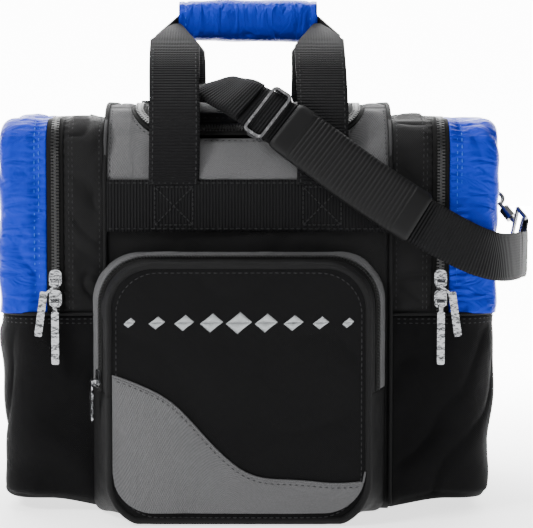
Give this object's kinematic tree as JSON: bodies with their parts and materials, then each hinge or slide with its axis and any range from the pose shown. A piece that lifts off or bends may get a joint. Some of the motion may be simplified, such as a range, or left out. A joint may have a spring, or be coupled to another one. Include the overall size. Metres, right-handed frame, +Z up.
{
  "type": "bowling ball bag",
  "caption": "Soft bowling bag with a ball compartment, two shoe compartments with zipped blue flaps, a front pocket, web handles in a padded wrap and a shoulder strap.",
  "frame": {"origin": "middle of the flat base", "axes": "+X left to right seen from the front, -Y towards the front pocket, +Z up"},
  "size_m": [0.4666, 0.3123, 0.413],
  "materials": {
    "black_fabric": "matte woven polyester",
    "grey_fabric": "coarse woven polyester",
    "blue_fabric": "shiny nylon",
    "black_webbing": "ribbed webbing",
    "zip_tape": "woven tape with coil teeth",
    "strap_rubber": "ribbed rubber",
    "zip_metal": "polished nickel",
    "hook_metal": "polished nickel",
    "slide_metal": "dark nickel",
    "board": "matte",
    "foam": "lined foam"
  },
  "bodies": {
    "bag": {"base_panel": "black_fabric", "base_board": "board", "ball_cup": "foam", "front_panel": "black_fabric", "rear_panel": "black_fabric", "front_shoulder": "grey_fabric", "rear_shoulder": "grey_fabric", "shoulder_ends": "grey_fabric", "dividers": "black_fabric", "lid_zip_fixed": "zip_tape", "side_zips_fixed": "zip_tape", "web_bands": "black_webbing", "seam_piping": "black_fabric", "pocket_face_lower": "black_fabric", "pocket_binding_lower": "black_fabric", "pocket_shell_lower": "black_fabric", "pocket_gusset": "grey_fabric", "pocket_zip_fixed": "zip_tape", "shoulder_strap": "black_webbing", "strap_pad": "strap_rubber", "strap_ends": "black_webbing", "strap_slide": "slide_metal", "left_lower_shell": "black_fabric", "left_gusset": "black_fabric", "right_lower_shell": "black_fabric", "right_gusset": "black_fabric"},
    "lid": {"lid_panel": "black_fabric", "lid_zip_moving": "zip_tape"},
    "lid_slider": {"lid_slider": "zip_metal"},
    "grip": {"front_handle": "black_webbing", "rear_handle": "black_webbing", "handle_wrap": "blue_fabric"},
    "pocket_flap": {"pocket_face_flap": "black_fabric", "pocket_binding_flap": "black_fabric", "pocket_gusset_flap": "black_fabric", "pocket_zip_moving": "zip_tape"},
    "pocket_slider": {"pocket_slider": "zip_metal"},
    "pocket_pull": {"pocket_pull": "zip_metal"},
    "left_flap": {"left_flap": "blue_fabric", "left_zip_moving": "zip_tape", "left_ring_tab": "black_webbing"},
    "left_ring": {"left_ring": "hook_metal"},
    "left_hook": {"left_hook": "hook_metal"},
    "left_gate": {"left_gate": "hook_metal"},
    "left_eye": {"left_eye": "hook_metal"},
    "left_slider_upper": {"left_slider_upper": "zip_metal"},
    "left_pull_upper": {"left_pull_upper": "zip_metal"},
    "left_slider_lower": {"left_slider_lower": "zip_metal"},
    "left_pull_lower": {"left_pull_lower": "zip_metal"},
    "right_flap": {"right_flap": "blue_fabric", "right_zip_moving": "zip_tape", "right_ring_tab": "black_webbing"},
    "right_ring": {"right_ring": "hook_metal"},
    "right_hook": {"right_hook": "hook_metal"},
    "right_gate": {"right_gate": "hook_metal"},
    "right_eye": {"right_eye": "hook_metal"},
    "right_slider_upper": {"right_slider_upper": "zip_metal"},
    "right_pull_upper": {"right_pull_upper": "zip_metal"},
    "right_slider_lower": {"right_slider_lower": "zip_metal"},
    "right_pull_lower": {"right_pull_lower": "zip_metal"}
  },
  "joints": [
    {"name": "left_flap_fold", "type": "hinge", "parent": "bag", "child": "left_flap", "pos_m": [-0.1983, 0, 0.1585], "axis": [0, -1, 0], "range_deg": [0, 110]},
    {"name": "left_ring_swing", "type": "hinge", "parent": "left_flap", "child": "left_ring", "pos_m": [-0.2028, 0, 0.262], "axis": [0, 1, 0], "range_deg": [0, 60]},
    {"name": "left_hook_swing", "type": "hinge", "parent": "left_ring", "child": "left_hook", "pos_m": [-0.21083, 0, 0.24478], "axis": [0, 1, 0], "range_deg": [0, 25]},
    {"name": "left_hook_swivel", "type": "hinge", "parent": "left_hook", "child": "left_eye", "pos_m": [-0.21083, 0, 0.24478], "axis": [-0.5299, 0.4864, -0.6947], "continuous": true},
    {"name": "left_gate_hinge", "type": "hinge", "parent": "left_hook", "child": "left_gate", "pos_m": [-0.21125, 0.00634, 0.23572], "axis": [0, -0.8192, -0.5736], "range_deg": [0, 25], "stiffness_Nm_per_rad": 0.004},
    {"name": "left_slider_upper_run", "type": "slide", "parent": "bag", "child": "left_slider_upper", "axis": [0, 0, 1], "range_m": [0, 0.09]},
    {"name": "left_pull_upper_hinge", "type": "hinge", "parent": "left_slider_upper", "child": "left_pull_upper", "pos_m": [-0.1525, -0.1262, 0.184], "axis": [-1, 0, 0], "range_deg": [0, 100]},
    {"name": "left_slider_lower_run", "type": "slide", "parent": "bag", "child": "left_slider_lower", "axis": [0, 0, 1], "range_m": [-0.004, 0]},
    {"name": "left_pull_lower_hinge", "type": "hinge", "parent": "left_slider_lower", "child": "left_pull_lower", "pos_m": [-0.1525, -0.1262, 0.168], "axis": [-1, 0, 0], "range_deg": [0, 100]},
    {"name": "right_flap_fold", "type": "hinge", "parent": "bag", "child": "right_flap", "pos_m": [0.1983, 0, 0.1585], "axis": [0, 1, 0], "range_deg": [0, 110]},
    {"name": "right_ring_swing", "type": "hinge", "parent": "right_flap", "child": "right_ring", "pos_m": [0.2028, 0, 0.262], "axis": [0, -1, 0], "range_deg": [0, 60]},
    {"name": "right_hook_swing", "type": "hinge", "parent": "right_ring", "child": "right_hook", "pos_m": [0.21083, 0, 0.24478], "axis": [0, -1, 0], "range_deg": [0, 25]},
    {"name": "right_hook_swivel", "type": "hinge", "parent": "right_hook", "child": "right_eye", "pos_m": [0.21083, 0, 0.24478], "axis": [0.5299, -0.4864, -0.6947], "continuous": true},
    {"name": "right_gate_hinge", "type": "hinge", "parent": "right_hook", "child": "right_gate", "pos_m": [0.21125, -0.00634, 0.23572], "axis": [0, 0.8192, -0.5736], "range_deg": [0, 25], "stiffness_Nm_per_rad": 0.004},
    {"name": "right_slider_upper_run", "type": "slide", "parent": "bag", "child": "right_slider_upper", "axis": [0, 0, 1], "range_m": [0, 0.09]},
    {"name": "right_pull_upper_hinge", "type": "hinge", "parent": "right_slider_upper", "child": "right_pull_upper", "pos_m": [0.1525, -0.1262, 0.184], "axis": [-1, 0, 0], "range_deg": [0, 100]},
    {"name": "right_slider_lower_run", "type": "slide", "parent": "bag", "child": "right_slider_lower", "axis": [0, 0, 1], "range_m": [-0.004, 0]},
    {"name": "right_pull_lower_hinge", "type": "hinge", "parent": "right_slider_lower", "child": "right_pull_lower", "pos_m": [0.1525, -0.1262, 0.168], "axis": [-1, 0, 0], "range_deg": [0, 100]},
    {"name": "lid_hinge", "type": "hinge", "parent": "bag", "child": "lid", "pos_m": [0, 0.1, 0.3079], "axis": [-1, 0, 0], "range_deg": [0, 15], "deforming": ["shoulder_strap", "strap_ends"]},
    {"name": "lid_slider_run", "type": "slide", "parent": "lid", "child": "lid_slider", "axis": [0, -1, 0], "range_m": [0, 0.06]},
    {"name": "grip_drop", "type": "slide", "parent": "bag", "child": "grip", "axis": [0, 0, -1], "range_m": [0, 0.015], "deforming": ["front_handle", "rear_handle"]},
    {"name": "pocket_flap_fold", "type": "hinge", "parent": "bag", "child": "pocket_flap", "pos_m": [0, -0.1724, 0.101], "axis": [1, 0, 0], "range_deg": [0, 115]},
    {"name": "pocket_slider_run", "type": "slide", "parent": "bag", "child": "pocket_slider", "axis": [0, 0, 1], "range_m": [0, 0.05]},
    {"name": "pocket_pull_hinge", "type": "hinge", "parent": "pocket_slider", "child": "pocket_pull", "pos_m": [-0.12097, -0.14782, 0.108], "axis": [-0.294, 0.9558, 0], "range_deg": [0, 100]}
  ]
}
